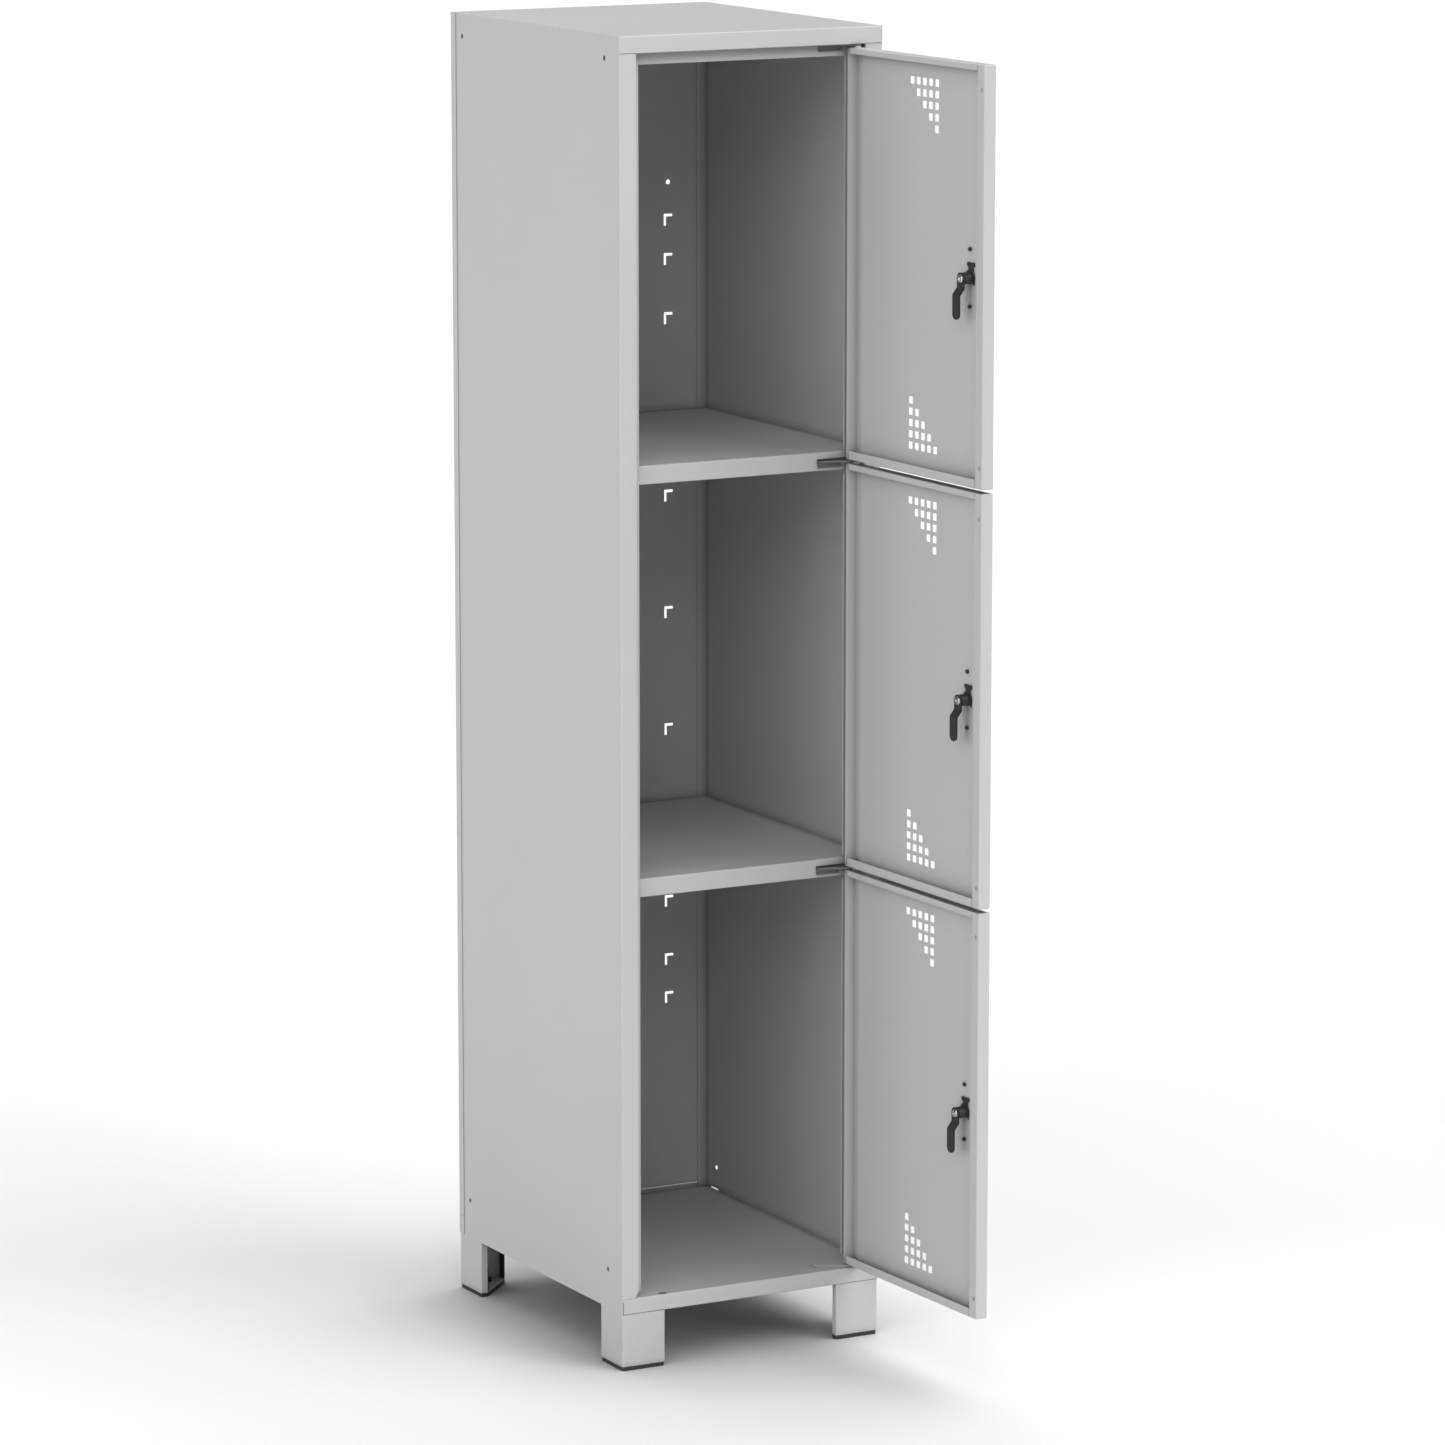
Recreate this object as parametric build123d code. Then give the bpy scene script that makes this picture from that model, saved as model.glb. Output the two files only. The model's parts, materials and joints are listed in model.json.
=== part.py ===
"""Steel locker with three compartments, one above the other, each behind its own door.

Every sheet piece is folded from 1 mm steel. X runs to the right, Y to the back and Z up.
The origin is on the floor, under the middle of the carcass. Lengths are in millimetres.
The doors are drawn closed and then turned about their hinge pins into the open pose.
"""
import os

from build123d import *

# Carcass
WIDTH = 400.0
DEPTH = 500.0
HEIGHT = 1820.0
SHEET = 1.0
BEND = 1.5                      # outer radius of a fold
TOP_LIP = 23.5                  # front lip of the top panel
LIP_RETURN = 45.0               # the lip's flange, running back over the doors
REAR_FLANGE = 15.0              # turned-down rear and side flanges of the flat panels
HEADER_DROP = 16.5
JAMB = 26.0                     # front face beside the doors
STOP_BACK = 20.0                # from the front plane to the face that stops a door
LEFT_STOP = 13.0
RIGHT_STOP = 20.5
HEM = 4.5                       # strip folded flat on the right stop's edge
JAMB_FOOT_CUT = 6.0             # cut-away at the foot of the left jamb
JAMB_FOOT_RISE = 12.0
SIDE_REAR_FLANGE = 15.0
SHELF_APRON = 25.5
SHELF_RETURN = 12.0
FLOOR_TOP = 101.0
FLOOR_APRON = 22.0
DRAIN_R = 6.0
DRAIN_IN_X = 65.5               # from the left side
DRAIN_IN_Y = 7.5                # from the front plane
CORNER_SEAM = 1.0               # open seam between the floor's apron and each side
CORNER_SEAM_DOWN = 4.0          # it starts this far under the floor
REAR_SLIT = 35.0                # slit in the right side, along the floor to the rear corner
REAR_SLIT_TALL = 1.6

# Back panel and the rail under it
LAP = 15.0                      # how far both reach round the sides
BACK_BOTTOM = 108.0
RAIL_HEIGHT = 25.5
RAIL_SEAM = 0.5
BACK_HOLE_R = 3.5
BACK_HOLE_IN = 61.1             # from the right side
BACK_HOLE_DROP = 223.5          # under the top of the upper door
HOOK_IN = 68.0                  # from the right side
HOOK_WIDTH = 14.0
HOOK_HEIGHT = 17.0
HOOK_SLOT = 4.0
HOOK_DROPS_LOWER = (124.9, 210.8, 267.0)    # under the top of each compartment's door
HOOK_DROPS_MIDDLE = (98.6, 267.0, 437.0)
HOOK_DROPS_UPPER = (268.5, 324.2, 408.4)

# Holes for bolting lockers side by side
LINK_R = 3.5
LINK_FRONT_IN = 42.5            # from the front plane
LINK_BACK_IN = 33.5             # from the back plane
LINK_LOW_UP = 33.8              # over the floor panel
LINK_HIGH_DROP = 31.2           # under the top

# Legs and foot caps
SIDE_BOTTOM = 80.5
LEG_FACE = 65.4
LEG_SIDE_FRONT = 64.0
LEG_SIDE_REAR = 66.0
LEG_FLANGE = 10.0
FOOT = 6.0                      # height of the caps below the legs
FOOT_INSET = 0.5
FOOT_TOE = 11.0                 # width of the cap's arm ends
FOOT_ROUND = 3.0
BASE = 1.5                      # triangular plate in the bottom of each leg
CLIP_ARM = 2.5                  # thickness of the cap's arms, behind the leg's flanges
CLIP_ARM_RISE = 36.0
CLIP_ARM_OVER = 2.0             # how far the arms reach past the flanges
CAP_CLEAR = 0.3
PEG_R = 2.5                     # peg of the cap, through the base plate
PEG_RISE = 6.5
PEG_IN_X = 37.5
PEG_IN_Y = 19.0
FIX_R = 3.5
FIX_IN_X = 25.0                 # from the side
FIX_IN_Y = 26.0                 # from the front or back plane

# Doors
SIDE_GAP = 4.0                  # between a jamb and the door beside it
DOOR_DEPTH = 18.0
DOOR_GAP = 5.5
END_GAP = 4.5                   # under the top lip and over the floor
DOOR_COUNT = 3
OPEN_ANGLE = 92.0
AXIS_IN = 5.0                   # the hinge axis, in from the door's edge and from its face
FREE_LIP = 16.7
TOP_DOOR_LIP = 8.0
BOTTOM_DOOR_LIP = 12.0
LIP_STOP = 6.0                  # the lips end this far before the hinge edge
LIP_SLIT = 1.0
RELIEF_R = 2.2
RELIEF_UP = 4.5
RELIEF_IN = 5.0
LIP_HOLE_R = 3.0
LIP_HOLE_IN = 6.0
LIP_HOLE_DOWN = 33.0
LIP_HOLE_UP = 28.0

# Ventilation cut-outs
VENT = 10.0
VENT_PITCH = 15.25
VENT_ROWS = 5
VENT_FROM_HINGE = 136.5
VENT_FROM_END = 34.5

# Lock, its handle plate and the cam
LOCK_IN = 57.0                  # from the free edge
LOCK_DROP = 5.0                 # under the door's middle
BARREL_R = 8.0
BARREL_END = 14.5               # the barrel's inner end, in from the door's face
BARREL_PROUD = 2.0              # its head stands this far off the handle plate
BARREL_HEAD_R = 10.0
BARREL_HEAD = 1.2
CORE_R = 5.0
RUN_CLEAR = 0.05                # radial clearance of the running fits
KEY_SLOT_WIDTH = 1.4
KEY_SLOT_TALL = 6.0
KEY_SLOT_DEEP = 3.0
CAM_SQUARE = 7.0
CAM_THICK = 2.5
CAM_WIDTH = 16.0
CAM_BASE_IN = 15.0
CAM_TIP_IN = 22.0
CAM_REACH = 54.0
CRANK_START = 13.0
CRANK_END = 22.0
CAM_BEND = 1.0
CAM_SCREW_R = 2.0
CAM_SCREW_DEEP = 8.0
CAM_HEAD_R = 4.6
CAM_HEAD = 3.4
CLIP_THICK = 1.2
CLIP_OUT_R = 11.5
CLIP_LEG = 5.0
CLIP_NECK = 5.0
CLIP_NECK_TOP = 17.5
CLIP_TAB = 13.0
CLIP_TOP = 21.0
PLATE_WIDTH = 36.0
PLATE_HEIGHT = 100.0
PLATE_THICK = 5.0
PULL_PROUD = 12.0               # the finger pull, off the door's face
PULL_WIDTH = 7.0
PULL_TIP = 2.6
PLATE_ROUND = 1.2
SCREW_SPREAD = 38.0             # above and below the lock
SCREW_R = 2.0
SCREW_HEAD_R = 3.6
SCREW_HEAD = 1.8
SCREW_IN = 4.0                  # the ends that show inside the door
PIP_R = 1.4
PIP_DROP = 51.0
PIP_IN = 44.0

# Hinges
PIN_R = 2.5
PIN_REACH = 9.0                 # into each door, past its edge
BUSH_R = 3.5
BUSH_HEAD_R = 4.5
BUSH_HEAD = 1.0
BUSH_SLEEVE = 6.0
BRACKET = 2.5
NOSE_R = 4.8
BRACKET_REACH = 61.0            # from the jamb's inner face
BRACKET_BACK = 14.0             # behind the stop faces
BRACKET_NECK = 6.0
BRACKET_LEG = 34.0
BRACKET_LEG_WIDE = 7.0
BRACKET_LEG_OFF = 1.6           # keeps the leg clear of the fold beside the stop
BRACKET_EDGE = 7.0              # the turned-down edge in front of the apron
BRACKET_EDGE_THICK = 1.5
BRACKET_EDGE_IN = 26.0          # the edge ends this far from the jamb's inner face
SLOT_CLEAR = 0.5
APRON_SLOT = 7.0
NOTCH_HALF = 17.0
NOTCH_IN = 12.0                 # the stop's notch ends this far from the jamb's inner face
RIVET_R = 2.0
RIVET_HEAD_R = 3.2
RIVET_HEAD = 0.7
RIVET_SPREAD = 11.0

# Positions that follow from the sizes above
LEFT, RIGHT = -WIDTH / 2, WIDTH / 2
FRONT, BACK = -DEPTH / 2, DEPTH / 2
STOP = FRONT + STOP_BACK                    # face of the door stops
APRON = STOP + SHEET                        # front face of aprons and header
INNER_BACK = BACK - SHEET
LIP_BOTTOM = HEIGHT - TOP_LIP
JAMB_RIGHT = RIGHT - JAMB                   # inner face of the right jamb
DOOR_LEFT, DOOR_RIGHT = LEFT + JAMB + SIDE_GAP, JAMB_RIGHT - SIDE_GAP
DOOR_BACK = FRONT + DOOR_DEPTH
AXIS_X, AXIS_Y = DOOR_RIGHT - AXIS_IN, FRONT + AXIS_IN
DOOR_STACK = LIP_BOTTOM - FLOOR_TOP - 2 * END_GAP - (DOOR_COUNT - 1) * DOOR_GAP
DOOR_HEIGHT = DOOR_STACK / DOOR_COUNT
DOOR_BASES = [FLOOR_TOP + END_GAP + i * (DOOR_HEIGHT + DOOR_GAP) for i in range(DOOR_COUNT)]
GAPS = [base - DOOR_GAP / 2 for base in DOOR_BASES[1:]]
LOCK_X = DOOR_LEFT + LOCK_IN
HOOK_X = RIGHT - HOOK_IN
BRACKET_LEFT = JAMB_RIGHT - BRACKET_REACH
NOTCH_X = JAMB_RIGHT - NOTCH_IN
RIVET_Y = STOP - BRACKET_LEG_OFF - BRACKET_LEG_WIDE / 2
MIN3 = (Align.MIN, Align.MIN, Align.MIN)
FROM_BASE = (Align.CENTER, Align.CENTER, Align.MIN)
PLACES = ("lower", "middle", "upper")


# Plain shapes, placed by their limits

def block(x0, x1, y0, y1, z0, z1):
    return Pos(x0, y0, z0) * Box(x1 - x0, y1 - y0, z1 - z0, align=MIN3)


def rod_x(y, z, radius, x0, x1):
    return Pos(x0, y, z) * Rot(0, 90, 0) * Cylinder(radius, x1 - x0, align=FROM_BASE)


def rod_y(x, z, radius, y0, y1):
    return Pos(x, y0, z) * Rot(-90, 0, 0) * Cylinder(radius, y1 - y0, align=FROM_BASE)


def rod_z(x, y, radius, z0, z1):
    return Pos(x, y, z0) * Cylinder(radius, z1 - z0, align=FROM_BASE)


def folded(points, side, thick=SHEET, bend=BEND):
    """Section of a folded sheet: the line of one face, thickened to one side."""
    return make_face(offset(FilletPolyline(*points, radius=bend), thick, side=side))


def fold_up(points, z0, z1, side=Side.RIGHT):
    """Sheet whose section is drawn in plan, standing from z0 to z1."""
    return Pos(0, 0, z0) * extrude(folded(points, side), z1 - z0, dir=(0, 0, 1))


def fold_across(points, x0, x1, side=Side.RIGHT):
    """Sheet whose section is drawn from the side, as (Y, Z), running from x0 to x1."""
    face = Plane.YZ * folded(points, side)
    return Pos(x0, 0, 0) * extrude(face, x1 - x0, dir=(1, 0, 0))


def plate_xz(outline, y0, y1):
    """Flat outline drawn as (X, Z), with its thickness from y0 to y1."""
    return Pos(0, y0, 0) * extrude(Plane.XZ * outline, y1 - y0, dir=(0, 1, 0))


def flip_y(shape):
    return mirror(shape, about=Plane.XZ)


def flip_x(shape):
    return mirror(shape, about=Plane.YZ)


def join(shapes):
    first, *rest = shapes
    return first + rest


# Carcass

def leg(side_length, y_edge, z_top):
    """Front left leg: an angle with a narrow flange on each free edge."""
    inner_x = LEFT + LEG_FACE
    points = [(inner_x, y_edge + LEG_FLANGE), (inner_x, y_edge), (LEFT, y_edge),
              (LEFT, y_edge + side_length), (LEFT + LEG_FLANGE, y_edge + side_length)]
    return fold_up(points, FOOT, z_top)


def side_panel(stop_width):
    """Left side: the skin, the jamb and door stop folded from it, and both legs."""
    jamb_x = LEFT + JAMB
    skin = LEFT + SHEET
    points = [(jamb_x + stop_width, STOP), (jamb_x, STOP), (jamb_x, FRONT), (LEFT, FRONT),
              (LEFT, INNER_BACK), (LEFT + SIDE_REAR_FLANGE, INNER_BACK)]
    leg_top = FLOOR_TOP - FLOOR_APRON
    panel = join([
        fold_up(points, FLOOR_TOP, LIP_BOTTOM),
        block(LEFT, skin, FRONT, INNER_BACK - BEND, LIP_BOTTOM, HEIGHT),
        block(LEFT, skin, FRONT, INNER_BACK - BEND, SIDE_BOTTOM, FLOOR_TOP),
        leg(LEG_SIDE_FRONT, FRONT, leg_top),
        block(LEFT, skin, FRONT, FRONT + LEG_SIDE_FRONT, leg_top, SIDE_BOTTOM),
        flip_y(leg(LEG_SIDE_REAR, -INNER_BACK, SIDE_BOTTOM)),
    ])
    return panel - [rod_x(y, z, LINK_R, LEFT - SHEET, skin + SHEET)
                    for y in (FRONT + LINK_FRONT_IN, BACK - LINK_BACK_IN)
                    for z in (FLOOR_TOP + LINK_LOW_UP, HEIGHT - LINK_HIGH_DROP)]


def left_side():
    """The left jamb is cut away a little where it meets the floor panel."""
    jamb_x = LEFT + JAMB
    wedge = make_face(Polyline((jamb_x - JAMB_FOOT_CUT, FLOOR_TOP), (jamb_x + SHEET, FLOOR_TOP),
                               (jamb_x + SHEET, FLOOR_TOP + JAMB_FOOT_RISE),
                               (jamb_x, FLOOR_TOP + JAMB_FOOT_RISE), close=True))
    return side_panel(LEFT_STOP) - plate_xz(wedge, FRONT - SHEET, STOP - BEND)


def right_side():
    """Mirror of the left, with a wider stop that is hemmed and cut for the brackets."""
    panel = flip_x(side_panel(RIGHT_STOP))
    stop_x = JAMB_RIGHT - RIGHT_STOP
    hem = block(stop_x, stop_x + HEM, STOP - SHEET, STOP, FLOOR_TOP, LIP_BOTTOM)
    cuts = []
    for low, high in [(z - NOTCH_HALF, z + NOTCH_HALF) for z in GAPS] + [
            (FLOOR_TOP, FLOOR_TOP + NOTCH_HALF), (LIP_BOTTOM - NOTCH_HALF, LIP_BOTTOM)]:
        cuts.append(block(stop_x - SHEET, NOTCH_X, STOP - 2 * SHEET, STOP + 2 * SHEET, low, high))
    for low, high in bracket_levels():
        cuts.append(block(NOTCH_X - SHEET, JAMB_RIGHT, STOP - 2 * SHEET, STOP + 2 * SHEET,
                          low - SLOT_CLEAR, high + SLOT_CLEAR))
    rear, low = INNER_BACK - BEND - SHEET, FLOOR_TOP + SLOT_CLEAR
    cuts.append(block(RIGHT - 2 * SHEET, RIGHT + SHEET, rear - REAR_SLIT, rear,
                      low, low + REAR_SLIT_TALL))
    return panel + hem - cuts


def rear_wrap(z0, z1):
    """Rear sheet that laps round both sides."""
    edge = RIGHT + SHEET
    return fold_up([(-edge, BACK - LAP), (-edge, BACK), (edge, BACK), (edge, BACK - LAP)], z0, z1)


def hook_slot(top):
    arm = block(HOOK_X, HOOK_X + HOOK_WIDTH, INNER_BACK - SHEET, BACK + SHEET, top - HOOK_SLOT, top)
    stem = block(HOOK_X, HOOK_X + HOOK_SLOT, INNER_BACK - SHEET, BACK + SHEET,
                 top - HOOK_HEIGHT, top)
    return arm + stem


def back_panel():
    """Back with its hook slots, three behind each door, and one round hole."""
    door_tops = [base + DOOR_HEIGHT for base in DOOR_BASES]
    drops = (HOOK_DROPS_LOWER, HOOK_DROPS_MIDDLE, HOOK_DROPS_UPPER)
    slots = [hook_slot(top - drop) for top, group in zip(door_tops, drops) for drop in group]
    hole = rod_y(RIGHT - BACK_HOLE_IN, door_tops[-1] - BACK_HOLE_DROP, BACK_HOLE_R,
                 INNER_BACK - SHEET, BACK + SHEET)
    return rear_wrap(BACK_BOTTOM, HEIGHT) - [hole] - slots


def rear_rail():
    top = BACK_BOTTOM - RAIL_SEAM
    return rear_wrap(top - RAIL_HEIGHT, top)


def side_flanges(top, y0, y1):
    """The pair of turned-down flanges by which a flat panel is fixed to the sides."""
    right = block(RIGHT - 2 * SHEET, RIGHT - SHEET, y0, y1, top - REAR_FLANGE, top - SHEET / 2)
    return [right, flip_x(right)]


def top_panel():
    points = [(FRONT + LIP_RETURN, LIP_BOTTOM), (FRONT, LIP_BOTTOM), (FRONT, HEIGHT),
              (INNER_BACK, HEIGHT), (INNER_BACK, HEIGHT - REAR_FLANGE)]
    sheet = fold_across(points, LEFT + SHEET, RIGHT - SHEET)
    return join([sheet] + side_flanges(HEIGHT, FRONT + LIP_RETURN, INNER_BACK - 2 * SHEET))


def header_strip():
    """Angle under the lip that closes the gap above the top door."""
    points = [(FRONT + LIP_RETURN, LIP_BOTTOM), (APRON, LIP_BOTTOM),
              (APRON, LIP_BOTTOM - HEADER_DROP)]
    strip = fold_across(points, LEFT + SHEET, RIGHT - SHEET, Side.LEFT)
    low, high = bracket_levels()[-1]
    return strip - block(BRACKET_LEFT - SLOT_CLEAR, JAMB_RIGHT + SLOT_CLEAR, APRON - SHEET,
                         FRONT + LIP_RETURN + SHEET, low - SLOT_CLEAR, high + SLOT_CLEAR)


def shelf(gap):
    """Shelf whose apron stands behind the gap between two doors."""
    top = gap + SHELF_APRON / 2
    rear = INNER_BACK - BEND
    points = [(APRON + SHELF_RETURN, top - SHELF_APRON), (APRON, top - SHELF_APRON), (APRON, top),
              (rear, top), (rear, top - REAR_FLANGE)]
    sheet = fold_across(points, LEFT + SHEET, RIGHT - SHEET)
    slot = block(BRACKET_LEFT - SLOT_CLEAR, JAMB_RIGHT + SLOT_CLEAR, APRON - SHEET,
                 APRON + 2 * SHEET, gap - APRON_SLOT / 2, gap + APRON_SLOT / 2)
    return join([sheet] + side_flanges(top, APRON + SHELF_RETURN, rear - 2 * SHEET)) - slot


def floor_panel():
    """Bottom of the lowest compartment, with its apron in the front plane over the legs."""
    rear = INNER_BACK - BEND
    points = [(FRONT + SHELF_RETURN, FLOOR_TOP - FLOOR_APRON), (FRONT, FLOOR_TOP - FLOOR_APRON),
              (FRONT, FLOOR_TOP), (rear, FLOOR_TOP), (rear, FLOOR_TOP - REAR_FLANGE)]
    sheet = fold_across(points, LEFT + SHEET, RIGHT - SHEET)
    drain = rod_z(LEFT + DRAIN_IN_X, FRONT + DRAIN_IN_Y, DRAIN_R, FLOOR_TOP - 2 * SHEET,
                  FLOOR_TOP + SHEET)
    seam = block(LEFT, LEFT + SHEET + CORNER_SEAM, FRONT - SHEET, FRONT + SHELF_RETURN + SHEET,
                 FLOOR_TOP - FLOOR_APRON - SHEET, FLOOR_TOP - CORNER_SEAM_DOWN)
    flanges = side_flanges(FLOOR_TOP, FRONT + 2 * SHELF_RETURN, rear - 2 * SHEET)
    return join([sheet] + flanges) - [drain, seam, flip_x(seam)]


def leg_outline(side_length, y_edge, inset):
    """Triangle with blunt toes that fills the front left leg in plan, drawn inset."""
    x0, y0 = LEFT + inset, y_edge + inset
    x1, y1 = LEFT + LEG_FACE - inset, y_edge + side_length - inset
    return make_face(Polyline((x0, y0), (x1, y0), (x1, y0 + FOOT_TOE), (x0 + FOOT_TOE, y1),
                              (x0, y1), close=True))


def foot_rod(in_x, in_y, radius, z0, z1):
    """Upright rod in the front left foot, placed from the locker's outer planes."""
    return rod_z(LEFT + in_x, FRONT + in_y, radius, z0, z1)


def clip_arms(side_length, y_edge, clear):
    """Arms of the cap, one behind each flange of the leg, grown all round by a clearance."""
    gap = SHEET + CAP_CLEAR
    reach = LEG_FLANGE + CLIP_ARM_OVER + clear
    x0, x1 = LEFT + gap, LEFT + LEG_FACE - gap
    y0, y1 = y_edge + gap, y_edge + side_length - gap
    top = FOOT + CLIP_ARM_RISE
    return [block(x0 - clear, LEFT + reach, y1 - CLIP_ARM - clear, y1 + clear, FOOT, top),
            block(x1 - CLIP_ARM - clear, x1 + clear, y0 - clear, y_edge + reach, FOOT, top)]


def leg_base(side_length, y_edge):
    """Plate welded in the bottom of the front left leg, cut out for the cap's arms and peg."""
    plate = extrude(leg_outline(side_length, y_edge, SHEET), BASE, dir=(0, 0, 1))
    plate = Pos(0, 0, FOOT) * fillet(plate.edges().filter_by(Axis.Z), BEND)
    through = (FOOT - BASE, FOOT + 2 * BASE)
    return plate - clip_arms(side_length, y_edge, CAP_CLEAR) - [
        foot_rod(PEG_IN_X, PEG_IN_Y, PEG_R + CAP_CLEAR, *through),
        foot_rod(FIX_IN_X, FIX_IN_Y, FIX_R, *through)]


def foot_cap(side_length, y_edge):
    """Cap under the front left leg, with two arms and a peg that hold it in the leg."""
    pad = extrude(leg_outline(side_length, y_edge, FOOT_INSET), FOOT, dir=(0, 0, 1))
    pad = fillet(pad.edges().filter_by(Axis.Z), FOOT_ROUND)
    peg = foot_rod(PEG_IN_X, PEG_IN_Y, PEG_R, FOOT / 2, FOOT + BASE + PEG_RISE)
    cap = join([pad, peg] + clip_arms(side_length, y_edge, 0))
    return cap - foot_rod(FIX_IN_X, FIX_IN_Y, FIX_R, -FOOT, 2 * FOOT)


# Hinge brackets

def bracket_levels():
    """Bottom and top of the four bracket plates, from the floor up."""
    middle = [(gap - BRACKET / 2, gap + BRACKET / 2) for gap in GAPS]
    return [(FLOOR_TOP, FLOOR_TOP + BRACKET)] + middle + [(LIP_BOTTOM - BRACKET, LIP_BOTTOM)]


def bracket(low, high):
    """Tapered plate with a rounded nose, a leg on the jamb and a turned-down edge."""
    outline = make_face(Polyline(
        (BRACKET_LEFT, APRON + BRACKET_BACK), (BRACKET_LEFT, STOP),
        (AXIS_X - NOSE_R, AXIS_Y - NOSE_R / 2), (AXIS_X + NOSE_R / 2, AXIS_Y - NOSE_R / 2),
        (AXIS_X + NOSE_R, AXIS_Y), (JAMB_RIGHT - SLOT_CLEAR, AXIS_Y + BRACKET_NECK),
        (JAMB_RIGHT - SLOT_CLEAR, APRON + BRACKET_BACK), close=True))
    plate = Pos(0, 0, low) * extrude(outline, high - low, dir=(0, 0, 1))
    plate += rod_z(AXIS_X, AXIS_Y, NOSE_R, low, high)
    leg_low = max(FLOOR_TOP, (low + high) / 2 - BRACKET_LEG / 2)
    leg_high = min(LIP_BOTTOM, (low + high) / 2 + BRACKET_LEG / 2)
    leg_y = STOP - BRACKET_LEG_OFF
    plate += block(JAMB_RIGHT - BRACKET, JAMB_RIGHT, leg_y - BRACKET_LEG_WIDE, leg_y, leg_low,
                   leg_high)
    if low > FLOOR_TOP:
        plate += block(BRACKET_LEFT, JAMB_RIGHT - BRACKET_EDGE_IN, STOP - BRACKET_EDGE_THICK, STOP,
                       low - BRACKET_EDGE, high)
    plate -= rod_z(AXIS_X, AXIS_Y, PIN_R, low - SHEET, high + SHEET)
    return plate - [rod_x(RIVET_Y, z, RIVET_R, JAMB_RIGHT - 2 * BRACKET, JAMB_RIGHT)
                    for z in rivet_levels(low, high)]


def rivet_levels(low, high):
    """Heights of a bracket's rivets: two each, or one where the leg is cut short."""
    middle = (low + high) / 2
    levels = [middle - RIVET_SPREAD, middle + RIVET_SPREAD]
    return [z for z in levels if FLOOR_TOP + RIVET_HEAD_R < z < LIP_BOTTOM - RIVET_HEAD_R]


def bracket_rivets():
    """Rivets through the brackets' legs and the jamb, with a head on each side."""
    inside, outside = JAMB_RIGHT - BRACKET, JAMB_RIGHT + SHEET
    return [rod_x(RIVET_Y, z, RIVET_R, inside, outside)
            + rod_x(RIVET_Y, z, RIVET_HEAD_R, inside - RIVET_HEAD, inside)
            + rod_x(RIVET_Y, z, RIVET_HEAD_R, outside, outside + RIVET_HEAD)
            for low, high in bracket_levels() for z in rivet_levels(low, high)]


def rivet_holes():
    return [rod_x(RIVET_Y, z, RIVET_R, JAMB_RIGHT - SHEET, JAMB_RIGHT + 2 * SHEET)
            for low, high in bracket_levels() for z in rivet_levels(low, high)]


def hinge_pin(low, high):
    """Pin of one bracket: it reaches only into the doors that meet there."""
    middle = (low + high) / 2
    reach = DOOR_GAP / 2 + PIN_REACH
    bottom = low if middle < DOOR_BASES[0] else middle - reach
    top = high if middle > LIP_BOTTOM - END_GAP else middle + reach
    return rod_z(AXIS_X, AXIS_Y, PIN_R, bottom, top)


# Doors, drawn closed

def vents(z0, z1):
    """Two triangles of square holes, their staggered edges facing each other."""
    hole = Rectangle(VENT, VENT)
    first = DOOR_RIGHT - VENT_FROM_HINGE - (VENT_ROWS - 1) * VENT_PITCH
    last = DOOR_RIGHT - VENT_FROM_HINGE
    holes = Sketch()
    for row in range(VENT_ROWS):
        for i in range(VENT_ROWS - row):
            step = row * VENT_PITCH
            holes += Pos(first + i * VENT_PITCH, z1 - VENT_FROM_END - step) * hole
            holes += Pos(last - i * VENT_PITCH, z0 + VENT_FROM_END + step) * hole
    return plate_xz(holes, FRONT - SHEET, FRONT + 2 * SHEET)


def door_pan(z0, z1):
    """Door skin with flanges all round, and lips on three of them."""
    outer = block(DOOR_LEFT, DOOR_RIGHT, FRONT, DOOR_BACK, z0, z1)
    inner = block(DOOR_LEFT + SHEET, DOOR_RIGHT - SHEET, FRONT + SHEET, DOOR_BACK - SHEET,
                  z0 + SHEET, z1 - SHEET)
    pan = fillet(bent_edges(outer), BEND) - fillet(bent_edges(inner), BEND - SHEET)
    wall = (DOOR_BACK - 2 * SHEET, DOOR_BACK + SHEET)
    lip_x = DOOR_LEFT + FREE_LIP
    pan -= block(lip_x, DOOR_RIGHT - SHEET, *wall, z0 + BOTTOM_DOOR_LIP, z1 - TOP_DOOR_LIP)
    for x0, x1 in ((lip_x, lip_x + LIP_SLIT), (DOOR_RIGHT - LIP_STOP, DOOR_RIGHT - SHEET)):
        pan -= block(x0, x1, *wall, z0 + BEND, z1 - BEND)
    pan -= [rod_y(DOOR_LEFT + LIP_HOLE_IN, z, LIP_HOLE_R, *wall)
            for z in (z0 + LIP_HOLE_UP, z1 - LIP_HOLE_DOWN)]
    pan -= [rod_x(FRONT + RELIEF_IN, z, RELIEF_R, DOOR_RIGHT - 2 * SHEET, DOOR_RIGHT + SHEET)
            for z in (z0 + RELIEF_UP, z1 - RELIEF_UP)]
    pan -= rod_z(AXIS_X, AXIS_Y, BUSH_R, z0 - SHEET, z1 + SHEET)
    lock_z = lock_level(z0)
    skin = (FRONT - SHEET, FRONT + 2 * SHEET)
    pan -= [rod_y(LOCK_X, lock_z, BARREL_R, *skin),
            rod_y(DOOR_LEFT + PIP_IN, lock_z - PIP_DROP, PIP_R, *skin)]
    pan -= [rod_y(LOCK_X, lock_z + d, SCREW_R, *skin) for d in (-SCREW_SPREAD, SCREW_SPREAD)]
    return pan - vents(z0, z1)


def bent_edges(shape):
    """All edges of a pan's block except the rear upright one at the hinge side, left open."""
    hinge_side = shape.edges().filter_by(Axis.Z).group_by(Axis.X)[-1]
    rear = hinge_side.sort_by(Axis.Y)[-1].center()
    return [edge for edge in shape.edges() if edge.center() != rear]


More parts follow.
